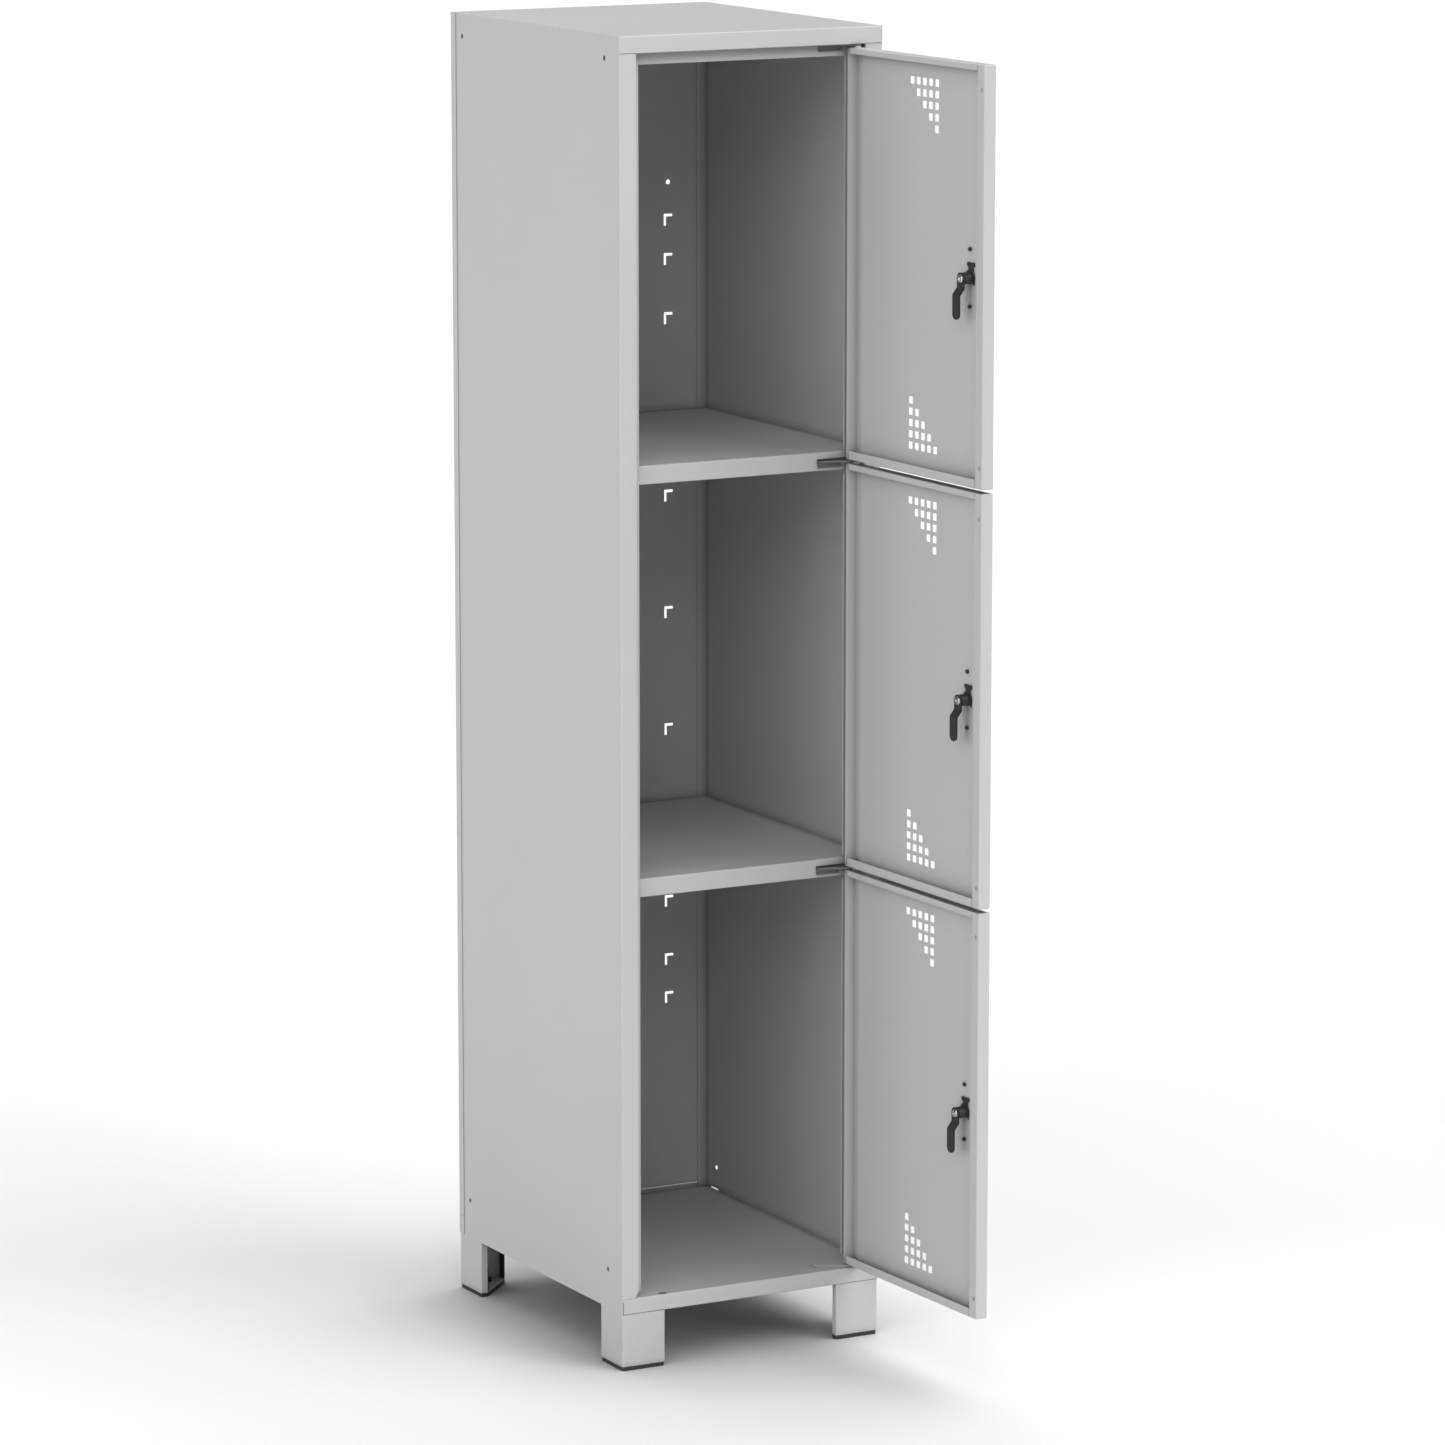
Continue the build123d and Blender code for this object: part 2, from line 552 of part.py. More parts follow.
def lock_level(z0):
    return z0 + DOOR_HEIGHT / 2 - LOCK_DROP


def lock_barrel(z):
    face = FRONT - PLATE_THICK
    outer = (rod_y(LOCK_X, z, BARREL_R, face, FRONT + BARREL_END)
             + rod_y(LOCK_X, z, BARREL_HEAD_R, face - BARREL_HEAD, face))
    return outer - rod_y(LOCK_X, z, CORE_R + RUN_CLEAR, face - BARREL_PROUD, FRONT + BARREL_END)


def lock_core(z):
    """Turning core with the square end that drives the cam."""
    face = FRONT - PLATE_THICK - BARREL_HEAD
    half = CAM_SQUARE / 2
    core = (rod_y(LOCK_X, z, CORE_R, face, FRONT + CAM_BASE_IN)
            + block(LOCK_X - half, LOCK_X + half, FRONT + CAM_BASE_IN,
                    FRONT + CAM_BASE_IN + CAM_THICK, z - half, z + half))
    slot = block(LOCK_X - KEY_SLOT_WIDTH / 2, LOCK_X + KEY_SLOT_WIDTH / 2, face, face + KEY_SLOT_DEEP,
                 z - KEY_SLOT_TALL / 2, z + KEY_SLOT_TALL / 2)
    end = FRONT + CAM_BASE_IN + CAM_THICK
    return core - slot - rod_y(LOCK_X, z, CAM_SCREW_R, end - CAM_SCREW_DEEP, end)


def lock_cam(z):
    """Cranked tongue, drawn hanging down: its tip lies further in than its base."""
    base, tip = FRONT + CAM_BASE_IN, FRONT + CAM_TIP_IN
    points = [(base, z + CAM_WIDTH), (base, z - CRANK_START), (tip, z - CRANK_END),
              (tip, z - CAM_REACH)]
    bar = Plane.YZ * folded(points, Side.LEFT, CAM_THICK, CAM_BEND)
    bar = Pos(LOCK_X - CAM_WIDTH / 2, 0, 0) * extrude(bar, CAM_WIDTH, dir=(1, 0, 0))
    half = CAM_WIDTH / 2
    length = CAM_REACH + half
    outline = Pos(LOCK_X, z + half - length / 2) * RectangleRounded(CAM_WIDTH, length, half - SLOT_CLEAR)
    bar = bar & plate_xz(outline, FRONT, FRONT + 2 * DOOR_DEPTH)
    square = CAM_SQUARE / 2
    return bar - block(LOCK_X - square, LOCK_X + square, base - SHEET, base + 2 * CAM_THICK,
                       z - square, z + square)


def cam_screw(z):
    end = FRONT + CAM_BASE_IN + CAM_THICK
    head = plate_xz(Pos(LOCK_X, z) * RegularPolygon(CAM_HEAD_R, 6), end, end + CAM_HEAD)
    return head + rod_y(LOCK_X, z, CAM_SCREW_R, end - CAM_SCREW_DEEP, end)


def lock_clip(z):
    """Horseshoe that slides over the barrel from above, with a tab to pull it."""
    inner_r = BARREL_R
    shoe = Circle(CLIP_OUT_R) + Pos(0, -CLIP_LEG / 2) * Rectangle(2 * CLIP_OUT_R, CLIP_LEG)
    shoe -= Circle(inner_r)
    shoe -= Pos(0, -CLIP_OUT_R) * Rectangle(2 * inner_r, 2 * CLIP_OUT_R)
    shoe -= Pos(0, -CLIP_LEG - CLIP_OUT_R) * Rectangle(4 * CLIP_OUT_R, 2 * CLIP_OUT_R)
    neck = CLIP_NECK_TOP - inner_r - SHEET
    shoe += Pos(0, CLIP_NECK_TOP - neck / 2) * Rectangle(CLIP_NECK, neck)
    shoe += Pos(0, (CLIP_NECK_TOP + CLIP_TOP) / 2) * Rectangle(CLIP_TAB, CLIP_TOP - CLIP_NECK_TOP)
    return plate_xz(Pos(LOCK_X, z) * shoe, FRONT + SHEET, FRONT + SHEET + CLIP_THICK)


def handle_plate(z):
    """Plate on the door's face with a finger pull along its hinge side."""
    x0, x1 = LOCK_X - PLATE_WIDTH / 2, LOCK_X + PLATE_WIDTH / 2
    face, pull = FRONT - PLATE_THICK, FRONT - PULL_PROUD
    section = make_face(Polyline((x0, FRONT), (x0, face), (x1 - PULL_WIDTH, face),
                                 (x1 - PULL_TIP, pull), (x1, pull), (x1, FRONT), close=True))
    z0 = z - PLATE_HEIGHT / 2
    plate = Pos(0, 0, z0) * extrude(section, PLATE_HEIGHT, dir=(0, 0, 1))
    front_edges = [e for e in plate.edges() if e.center().Y < face + SHEET / 2]
    plate = fillet(front_edges, PLATE_ROUND)
    plate -= rod_y(LOCK_X, z, BARREL_R, pull, FRONT)
    for d in (-SCREW_SPREAD, SCREW_SPREAD):
        plate -= rod_y(LOCK_X, z + d, SCREW_R, pull, FRONT)
        plate -= rod_y(LOCK_X, z + d, SCREW_HEAD_R, pull, face + SCREW_HEAD)
    return plate


def handle_screws(z):
    face = FRONT - PLATE_THICK
    return [rod_y(LOCK_X, z + d, SCREW_HEAD_R, face, face + SCREW_HEAD)
            + rod_y(LOCK_X, z + d, SCREW_R, face + SCREW_HEAD, FRONT + SCREW_IN)
            for d in (-SCREW_SPREAD, SCREW_SPREAD)]


def bush(edge, way):
    """Bush in a door's flange: a head in the gap and a sleeve inside, along way."""
    sleeve = sorted((edge, edge + way * BUSH_SLEEVE))
    head = sorted((edge - way * BUSH_HEAD, edge))
    solid = (rod_z(AXIS_X, AXIS_Y, BUSH_R, *sleeve) + rod_z(AXIS_X, AXIS_Y, BUSH_HEAD_R, *head))
    return solid - rod_z(AXIS_X, AXIS_Y, PIN_R + RUN_CLEAR, sleeve[0] - BUSH_SLEEVE,
                         sleeve[1] + BUSH_SLEEVE)


def opened(shape):
    """Turn a closed door's piece about the hinge axis into the open pose."""
    return Pos(AXIS_X, AXIS_Y, 0) * Rot(0, 0, OPEN_ANGLE) * Pos(-AXIS_X, -AXIS_Y, 0) * shape


def door_pieces(place, z0):
    z1 = z0 + DOOR_HEIGHT
    z = lock_level(z0)
    shapes = {
        "door_pan": door_pan(z0, z1),
        "lock_barrel": lock_barrel(z),
        "lock_clip": lock_clip(z),
        "handle_plate": handle_plate(z),
        "handle_screws": Compound(children=handle_screws(z)),
        "hinge_bushes": Compound(children=[bush(z0, 1), bush(z1, -1)]),
        "lock_core": lock_core(z),
        "lock_cam": lock_cam(z),
        "cam_screw": cam_screw(z),
    }
    return {f"{name}_{place}": opened(shape) for name, shape in shapes.items()}


def carcass_pieces():
    pieces = {
        "left_side_panel": left_side(),
        "right_side_panel": right_side() - rivet_holes(),
        "back_panel": back_panel(),
        "rear_rail": rear_rail(),
        "top_panel": top_panel(),
        "header_strip": header_strip(),
        "lower_shelf": shelf(GAPS[0]),
        "upper_shelf": shelf(GAPS[1]),
        "floor_panel": floor_panel(),
        "bracket_rivets": Compound(children=bracket_rivets()),
    }
    for name, make in (("leg_base", leg_base), ("foot_cap", foot_cap)):
        front, rear = make(LEG_SIDE_FRONT, FRONT), flip_y(make(LEG_SIDE_REAR, -INNER_BACK))
        pieces.update({f"{name}_front_left": front, f"{name}_front_right": flip_x(front),
                       f"{name}_rear_left": rear, f"{name}_rear_right": flip_x(rear)})
    for place, (low, high) in zip(("bottom", "lower", "upper", "top"), bracket_levels()):
        pieces[f"hinge_bracket_{place}"] = bracket(low, high)
        pieces[f"hinge_pin_{place}"] = hinge_pin(low, high)
    return pieces


def main():
    os.makedirs("parts", exist_ok=True)
    pieces = carcass_pieces()
    for place, z0 in zip(PLACES, DOOR_BASES):
        pieces.update(door_pieces(place, z0))
    for name, shape in pieces.items():
        export_step(shape, f"parts/{name}.step")


main()
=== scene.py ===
# %% [markdown]
# # A steel compartment locker
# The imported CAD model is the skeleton: every sheet, hinge and lock already stands in its place.
# This lesson gives each of them its finish, turns and bends the small hardware that shows when
# the doors are open, and stands the locker in a white studio.

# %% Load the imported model
import json
import math
import bmesh
import bpy
from mathutils import Matrix, Vector


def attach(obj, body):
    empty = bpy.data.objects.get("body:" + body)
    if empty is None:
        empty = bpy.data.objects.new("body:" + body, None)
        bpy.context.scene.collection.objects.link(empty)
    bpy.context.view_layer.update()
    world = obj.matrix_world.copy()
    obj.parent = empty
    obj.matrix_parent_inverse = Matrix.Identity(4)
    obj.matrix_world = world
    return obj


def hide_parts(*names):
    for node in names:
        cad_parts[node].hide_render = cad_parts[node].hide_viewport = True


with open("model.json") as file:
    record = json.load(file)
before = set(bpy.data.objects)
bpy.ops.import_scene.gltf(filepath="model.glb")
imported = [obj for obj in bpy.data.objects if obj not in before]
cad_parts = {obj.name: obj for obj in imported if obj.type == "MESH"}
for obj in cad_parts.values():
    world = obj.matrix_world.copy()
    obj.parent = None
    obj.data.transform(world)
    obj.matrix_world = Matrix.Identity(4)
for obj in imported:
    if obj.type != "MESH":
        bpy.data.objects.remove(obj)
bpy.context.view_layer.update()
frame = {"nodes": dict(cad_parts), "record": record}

nodes = frame["nodes"]
PLACES = ("lower", "middle", "upper")
MM = 0.001


# %% [markdown]
# ## Shader maths in plain Python
# A material's maths is easier to read as an expression than as a web of nodes. The small class
# below wraps one socket, so `grain * 0.4 + 0.3` adds the two Math nodes by itself. Every other
# node comes from one method, which takes the node's type, its settings and its sockets.

# %% A socket that understands arithmetic
class Value:
    """One output socket of a material's nodes, with the arithmetic that the finishes need."""

    def __init__(self, finish, socket):
        self.finish, self.socket = finish, socket

    def __add__(self, other):
        return self.finish.math("ADD", self, other)

    def __radd__(self, other):
        return self.finish.math("ADD", other, self)

    def __sub__(self, other):
        return self.finish.math("SUBTRACT", self, other)

    def __rsub__(self, other):
        return self.finish.math("SUBTRACT", other, self)

    def __mul__(self, other):
        return self.finish.math("MULTIPLY", self, other)

    def __rmul__(self, other):
        return self.finish.math("MULTIPLY", other, self)


# %% A material in the making
class Finish:
    """A material that is being made: its tree, its surface shader and one way to add a node."""

    def __init__(self, name):
        self.material = bpy.data.materials.new(name)
        self.material.use_nodes = True
        self.tree = self.material.node_tree
        self.shader = self.tree.nodes["Principled BSDF"]

    def node(self, kind, settings, sockets, output=0):
        """Add a node: its settings come first, then a value or a link for each named socket."""
        node = self.tree.nodes.new("ShaderNode" + kind)
        for setting, value in settings.items():
            setattr(node, setting, value)
        for key, value in sockets.items():
            self.feed(node.inputs[key], value)
        return Value(self, node.outputs[output])

    def feed(self, socket, value):
        """Link a wrapped socket to this one, or else set this one to a constant."""
        if isinstance(value, Value):
            self.tree.links.new(value.socket, socket)
        else:
            socket.default_value = value

    def math(self, operation, first, second):
        return self.node("Math", {"operation": operation}, {0: first, 1: second})

    def mix(self, factor, first, second):
        """The first colour where the factor is 0, the second where it is 1. A Mix node has
        sockets for every type: the factor is input 0, the colours are inputs 6 and 7."""
        return self.node("Mix", {"data_type": "RGBA"}, {0: factor, 6: first, 7: second}, output=2)

    def surface(self, **sockets):
        """Set the surface shader's own sockets, a constant or a link each."""
        for name, value in sockets.items():
            self.feed(self.shader.inputs[name.replace("_", " ")], value)
        return self.material

    def noise(self, per_metre, detail=2.0, stretch=(1.0, 1.0, 1.0)):
        """Noise of so many grains to the metre, which may be stretched along one axis."""
        place = self.node("TexCoord", {}, {}, output="Object")
        at = self.node("Mapping", {}, {"Vector": place, "Scale": stretch})
        return self.node("TexNoise", {}, {"Vector": at, "Scale": per_metre, "Detail": detail})

    def shades(self, factor, colour, spread):
        """The colour, a share darker where the factor is 0 and a share lighter where it is 1."""
        dark, light = ((*(c * gain for c in colour), 1.0) for gain in (1 - spread, 1 + spread))
        return self.mix(factor, dark, light)

    def paint_shade_where_shut_in(self, shade, colour, reach, share):
        """Painted shade: the first colour in open air, and only a share of the colour where all
        around is near.
        """
        # Painted shade: the colour is darkened where Ambient Occlusion finds other surfaces near.
        open_air = self.node("AmbientOcclusion", {"samples": 6}, {"Distance": reach}, "AO")
        return self.mix(1.0 - open_air, shade, (*(c * share for c in colour), 1.0))

    def bump(self, height, depth):
        return self.node("Bump", {}, {"Height": height, "Distance": depth})


# %% [markdown]
# ## Powder coat
# The sheets are sprayed with a dry powder that melts in the oven and sets as a tough skin. It
# could be one flat grey, but the real skin has a faint orange peel, soft dimples about a
# millimetre wide, over a slow cloud of thicker and thinner powder. A noise of each size gives
# both: the peel bends the gloss, the cloud shifts the grey by a hundredth or two, and a third
# noise as fine as dust breaks them up. The coat is plastic over steel, so it isn't metallic.
# Every fold, gap and seam is darkened with painted shade, so that each reads as a dark line.
# A line could be modelled for each, but the Ambient Occlusion node finds them all: it looks a
# few millimetres around a point and says how open the air is, wherever the doors stand.

# %% The powder coat of carcass, shelves and doors
COAT_GREY = (0.418, 0.428, 0.422)
COAT_CLOUDS = 4.0                   # the noises, in grains to the metre
COAT_PEEL = 850.0
COAT_DUST = 3200.0
CLOUD_SHARE = 0.7                   # of the shift in grey, the rest is the dust's
GREY_SHIFT = 0.035
COAT_GLOSS = 0.38                   # the least roughness, to which the peel adds
PEEL_GLOSS = 0.14
PEEL_SHARE = 0.8                    # of the relief, the rest is the dust's
PEEL_DEPTH = 0.08 * MM
# Painted shade in seams and folds: how far it looks, and how much of the grey is left.
SEAM_SHADE_REACH = 14.0 * MM
SEAM_SHADE_SHARE = 0.25                 # of the coat's grey that is left in a closed corner


def powder_coat(name):
    """A cloudy grey with orange peel, and painted shade in the seams."""
    coat = Finish(name)
    cloud = coat.noise(COAT_CLOUDS, detail=3.0)
    peel = coat.noise(COAT_PEEL)
    dust = coat.noise(COAT_DUST, detail=1.0)
    grey = coat.shades(cloud * CLOUD_SHARE + dust * (1 - CLOUD_SHARE), COAT_GREY, GREY_SHIFT)
    relief = peel * PEEL_SHARE + dust * (1 - PEEL_SHARE)
    # The base colour carries painted shade in the seams and folds.
    return coat.surface(
        Base_Color=coat.paint_shade_where_shut_in(grey, COAT_GREY, SEAM_SHADE_REACH, SEAM_SHADE_SHARE),
        Roughness=COAT_GLOSS + peel * PEEL_GLOSS, Normal=coat.bump(relief, PEEL_DEPTH))


finishes = {name: powder_coat(name) for name in ("powder_coat", "shelf_coat", "door_coat")}
print("coats", sorted(finishes))

# %% [markdown]
# ## Plastics and metals of the hardware
# The foot caps and handle plates are moulded in black plastic with a fine spark-eroded grain.
# The cams and clips are blackened steel, which keeps the streaks of its rolling, and so does
# the dark strip finish of the hinge brackets. The lock is satin nickel, turned on a lathe. Zinc on
# the
# pins and nuts grows in small bright spangles, and the hinge bushes are milky nylon. Each could
# have a tree of its own, but they differ in their numbers and not in kind, so one recipe makes
# them all: a grain, a spread of grey, a gloss and a depth.

# %% Black plastic, black steel, nickel, zinc, dark strip and nylon
HAZE_WIDER = 20                     # a haze so many times wider than the grain lies over it
FLECK_SHARE = 0.6                   # of the shift in grey, the rest is the haze's
HAZE_GLOSS = 0.1                    # what haze and grain add to the least roughness
FLECK_GLOSS = 0.08
ROLLED = (1.0, 1.0, 0.08)           # streaks along Z


def hardware(name, colour, grain, spread, gloss, depth, metallic=0.0, stretch=(1.0, 1.0, 1.0)):
    """A finish with so many grains to the metre, and with its relief's depth in millimetres."""
    finish = Finish(name)
    fleck = finish.noise(grain, detail=3.0, stretch=stretch)
    haze = finish.noise(grain / HAZE_WIDER)
    tone = fleck * FLECK_SHARE + haze * (1 - FLECK_SHARE)
    return finish.surface(
        Base_Color=finish.shades(tone, colour, spread), Metallic=metallic,
        Roughness=gloss + haze * HAZE_GLOSS + fleck * FLECK_GLOSS,
        Normal=finish.bump(fleck, depth * MM))


HARDWARE = {
    "black_plastic": dict(colour=(0.02, 0.02, 0.021), grain=1600.0, spread=0.25, gloss=0.42,
                          depth=0.05),
    "black_steel": dict(colour=(0.026, 0.026, 0.027), grain=900.0, spread=0.3, gloss=0.3,
                        depth=0.02, stretch=ROLLED),
    "lock_metal": dict(colour=(0.42, 0.41, 0.40), grain=2400.0, spread=0.08, gloss=0.22,
                       depth=0.005, metallic=1.0),
    "zinc_steel": dict(colour=(0.80, 0.81, 0.83), grain=700.0, spread=0.10, gloss=0.16,
                       depth=0.01, metallic=1.0),
    "dark_strip": dict(colour=(0.13, 0.13, 0.132), grain=900.0, spread=0.2, gloss=0.34,
                       depth=0.02, metallic=0.4, stretch=ROLLED),
    "white_nylon": dict(colour=(0.68, 0.68, 0.65), grain=1200.0, spread=0.04, gloss=0.4,
                        depth=0.02),
}
finishes.update({name: hardware(name, **recipe) for name, recipe in HARDWARE.items()})
print("finishes", len(finishes))

# %% [markdown]
# ## Dress the sheets and the hardware
# The record says which finish each piece of the frame takes. They could be dressed one by one,
# but a loop forgets none. All hinge brackets but the lowest get a dark, half-metallic strip
# finish, so beside the pale coat they show as dark metal. The lowest is sprayed with the floor it
# lies on.

# %% Dress every CAD node in its slot's finish
slot_of = {part["node"]: part["material_slot"] for part in frame["record"]["subparts"]}
for name, piece in nodes.items():
    # The upper hinge brackets are dressed darker than the coat, in the dark strip finish.
    dark_bracket = name.startswith("hinge_bracket") and name != "hinge_bracket_bottom"
    piece.data.materials.clear()
    piece.data.materials.append(finishes["dark_strip" if dark_bracket else slot_of[name]])
print("dressed", len(slot_of))

# %% [markdown]
# ## A bench for the small hardware
# Locks repeat on all three doors. Their pieces could be modelled where they stand, but a door
# stands open at an odd angle, so each piece is made once, upright at the origin as on a bench,
# and then copied to its three places. On the bench Z is the lock's own axis and points into the
# compartment. A copy is tipped over, turned with its door and pushed to the lock. The lock's
# joint in the frame gives the place and the turn.

# %% Tools of the bench
WELD = 0.001 * MM                   # points nearer than this are merged


def clear_bench():
    if bpy.context.object and bpy.context.object.mode == "EDIT":
        bpy.ops.object.mode_set(mode="OBJECT")
    bpy.ops.object.select_all(action="DESELECT")


def take_up(piece, *others):
    """On a cleared bench, select these pieces and make the first one active."""
    clear_bench()
    for item in (piece, *others):
        item.select_set(True)
    bpy.context.view_layer.objects.active = piece


def middle(item):
    """The middle of a face or an edge."""
    return sum((vert.co for vert in item.verts), Vector()) / len(item.verts)


def pick(kind, wanted):
    """In edit mode, select only the faces or edges whose test holds."""
    bpy.ops.mesh.select_mode(type=kind)
    bpy.ops.mesh.select_all(action="DESELECT")
    mesh = bmesh.from_edit_mesh(bpy.context.object.data)
    for item in mesh.faces if kind == "FACE" else mesh.edges:
        item.select_set(wanted(item))
    bmesh.update_edit_mesh(bpy.context.object.data)


def on_all(operator, **settings):
    """In edit mode, run an operator on the whole mesh."""
    bpy.ops.mesh.select_all(action="SELECT")
    operator(**settings)


def extrude(x=0.0, y=0.0, z=0.0):
    """In edit mode, extrude what is selected by so much."""
    bpy.ops.mesh.extrude_region_move(TRANSFORM_OT_translate={"value": (x, y, z)})


def apply_modifier(kind, **settings):
    """Add a modifier to the piece on the bench, set it and apply it."""
    bpy.ops.object.modifier_add(type=kind)
    modifier = bpy.context.object.modifiers[-1]
    for setting, value in settings.items():
        setattr(modifier, setting, value)
    bpy.ops.object.modifier_apply(modifier=modifier.name)


# %% From the bench to the three locks
lock_joints = {place: next(j for j in frame["record"]["behaviour"]["joints"]
                           if j["name"] == f"cam_turn_{place}") for place in PLACES}


def at_lock(place):
    """From the bench to one door's lock: tip over, turn with the door, push into place."""
    joint = lock_joints[place]
    turn = math.atan2(joint["axis"][1], joint["axis"][0]) + math.pi / 2
    return (Matrix.Translation(Vector(joint["pos_m"])) @ Matrix.Rotation(turn, 4, "Z")
            @ Matrix.Rotation(-math.pi / 2, 4, "X"))


def fit_to_locks(pattern, name, body, slot, *stands_for):
    """Copy a bench piece to the three locks, each copy with its own mesh, and put it away."""
    for place in PLACES:
        copy = bpy.data.objects.new(f"{name}_{place}", pattern.data.copy())
        bpy.context.scene.collection.objects.link(copy)
        copy.data.transform(at_lock(place))
        copy.data.materials.clear()
        copy.data.materials.append(finishes[slot])
        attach(copy, f"{body}_{place}")
        if stands_for:
            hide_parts(*(f"{node}_{place}" for node in stands_for))
    print(name, "faces", len(pattern.data.polygons))
    bpy.data.objects.remove(pattern)


print("locks at", {place: [round(v, 4) for v in joint["pos_m"]]
                   for place, joint in lock_joints.items()})

# %% [markdown]
# ## Turn the lock's barrel
# The barrel is a turned part, so it is made as on a lathe. Its half section could be typed in
# as a mesh, but here it is drawn as a turner would cut it: one point is pushed from corner to
# corner by extrude, and the closed line is spun round the lock's axis. The body is blackened
# and has the fine rings that the retaining clip slides into. The head, which shows outside, is
# a nickel cap with a chamfer, so it is a piece of its own.

# %% A lathe of extrude and spin
TURNED_EDGE = 25.0                  # degrees, a sharper edge isn't smoothed
SPIN_STEPS = 40


def turned(name, section, steps=SPIN_STEPS):
    """Draw a half section by extruding one point, and spin it round Z. No line on Z is drawn."""
    clear_bench()
    radius, height = section[0]
    bpy.ops.mesh.primitive_plane_add(size=MM, location=(radius, 0.0, height))
    piece = bpy.context.object
    piece.name = name
    bpy.ops.object.transform_apply(location=True)
    bpy.ops.object.mode_set(mode="EDIT")
    bpy.ops.mesh.select_mode(type="VERT")
    on_all(bpy.ops.mesh.merge, type="CENTER")
    for (r0, z0), (r1, z1) in zip(section, section[1:] + section[:1]):
        if r0 or r1:
            extrude(x=r1 - r0, z=z1 - z0)
    on_all(bpy.ops.mesh.remove_doubles, threshold=WELD)
    on_all(bpy.ops.mesh.spin, steps=steps, angle=2 * math.pi, center=(0.0, 0.0, 0.0),
           axis=(0.0, 0.0, 1.0))
    on_all(bpy.ops.mesh.remove_doubles, threshold=WELD)
    on_all(bpy.ops.mesh.normals_make_consistent, inside=False)
    bpy.ops.object.mode_set(mode="OBJECT")
    bpy.ops.object.shade_smooth_by_angle(angle=math.radians(TURNED_EDGE))
    return piece


# %% The barrel and its head
BORE = 5.05 * MM
BODY_R = 8.0 * MM
HEAD_R = 10.0 * MM
CHAMFER = 0.4 * MM
BODY_END = -0.5 * MM                # heights on the bench, from the lock joint's place
RINGS_FROM = -11.5 * MM
HEAD_UNDER = -20.0 * MM
HEAD_TOP = -21.2 * MM
RING_PITCH = 1.0 * MM
RING_DEPTH = 0.3 * MM
RING_COUNT = 10

body = [(BORE, BODY_END), (BODY_R - CHAMFER, BODY_END)]
for i in range(RING_COUNT):
    ridge = BODY_END - CHAMFER - i * RING_PITCH
    body += [(BODY_R, ridge), (BODY_R - RING_DEPTH, ridge - RING_PITCH / 2)]
body += [(BODY_R, RINGS_FROM), (BODY_R, HEAD_UNDER), (BORE, HEAD_UNDER)]
head = [(BORE, HEAD_UNDER), (HEAD_R, HEAD_UNDER), (HEAD_R, HEAD_TOP + CHAMFER),
        (HEAD_R - CHAMFER, HEAD_TOP), (BORE + CHAMFER, HEAD_TOP), (BORE, HEAD_TOP + CHAMFER)]
fit_to_locks(turned("barrel", body), "turned_barrel", "door", "black_steel", "lock_barrel")
fit_to_locks(turned("head", head), "barrel_head", "door", "lock_metal")

# %% [markdown]
# ## Bend up the retaining clip
# A horseshoe of spring steel is pushed over the barrel from above and pulls the lock tight. Its
# outline could be a curve with a bevel, but a stamped plate has square edges, so it grows from
# a circle: the circle's edge is extruded outwards to a ring, the ring is opened at the bottom,
# and its top edge is drawn up to a neck and a broad tab for the pliers. One extrude at the end
# gives all of it the thickness of the sheet.

# %% The clip's ring by extrude and resize
CLIP_IN_R = 8.15 * MM
CLIP_OUT_R = 11.5 * MM
CLIP_FLOOR = -13.95 * MM
CLIP_POINTS = 40                    # round the circle
CLIP_OPEN = 5.0 * MM                # the ring is open below this

clear_bench()
bpy.ops.mesh.primitive_circle_add(vertices=CLIP_POINTS, radius=CLIP_IN_R,
                                  location=(0, 0, CLIP_FLOOR))
clip = bpy.context.object
bpy.ops.object.transform_apply(location=True)
bpy.ops.object.mode_set(mode="EDIT")
wider = CLIP_OUT_R / CLIP_IN_R
on_all(extrude)
bpy.ops.transform.resize(value=(wider, wider, 1.0), center_override=(0.0, 0.0, CLIP_FLOOR))
pick("FACE", lambda face: middle(face).y > CLIP_OPEN)
bpy.ops.mesh.delete(type="FACE")
print("ring", round(CLIP_IN_R / MM, 2), "to", round(CLIP_OUT_R / MM, 2), "mm")

# %% Its feet, neck and tab
CLIP_FEET = 4.0 * MM
TAB_SIDE = -2.5 * MM                # the tab leans towards the door's free edge
NECK_HALF = 5.6 * MM
NECK_TOP = -14.4 * MM               # up is towards -Y on the bench
SHOULDER = 0.9 * MM
TAB_WIDER = 1.5
TAB_TALL = 5.2 * MM
CUT_ZONE = 2.0 * MM                 # the ring's cut ends lie this far above the opening at most
RADIAL = 1.0 * MM                   # and run outwards by more than this
RIM_ZONE = 0.5 * MM                 # edges this near the outer circle are its rim

pick("EDGE", lambda edge: edge.is_boundary and middle(edge).y > CLIP_OPEN - CUT_ZONE
     and abs(edge.verts[0].co.length - edge.verts[1].co.length) > RADIAL)
extrude(y=CLIP_FEET)
pick("EDGE", lambda edge: middle(edge).xy.length > CLIP_OUT_R - RIM_ZONE
     and middle(edge).y < -CLIP_IN_R and abs(middle(edge).x - TAB_SIDE) < NECK_HALF)
extrude()
bpy.ops.transform.resize(value=(1.0, 0.0, 1.0), center_override=(0.0, NECK_TOP, 0.0))
extrude(y=-SHOULDER)
bpy.ops.transform.resize(value=(TAB_WIDER, 1.0, 1.0), center_override=(TAB_SIDE, 0.0, 0.0))
extrude(y=-TAB_TALL)
print("tab top", round((SHOULDER + TAB_TALL - NECK_TOP) / MM, 2), "mm above the lock's axis")

# %% The sheet's thickness, its rounded edges and the three copies
CLIP_THICK = 1.6 * MM
CLIP_ROUND = 0.3 * MM
ROUND_EDGE = 50.0                   # degrees, a blunter edge isn't rounded
CLIP_EDGE = 30.0                    # degrees, a sharper edge isn't smoothed

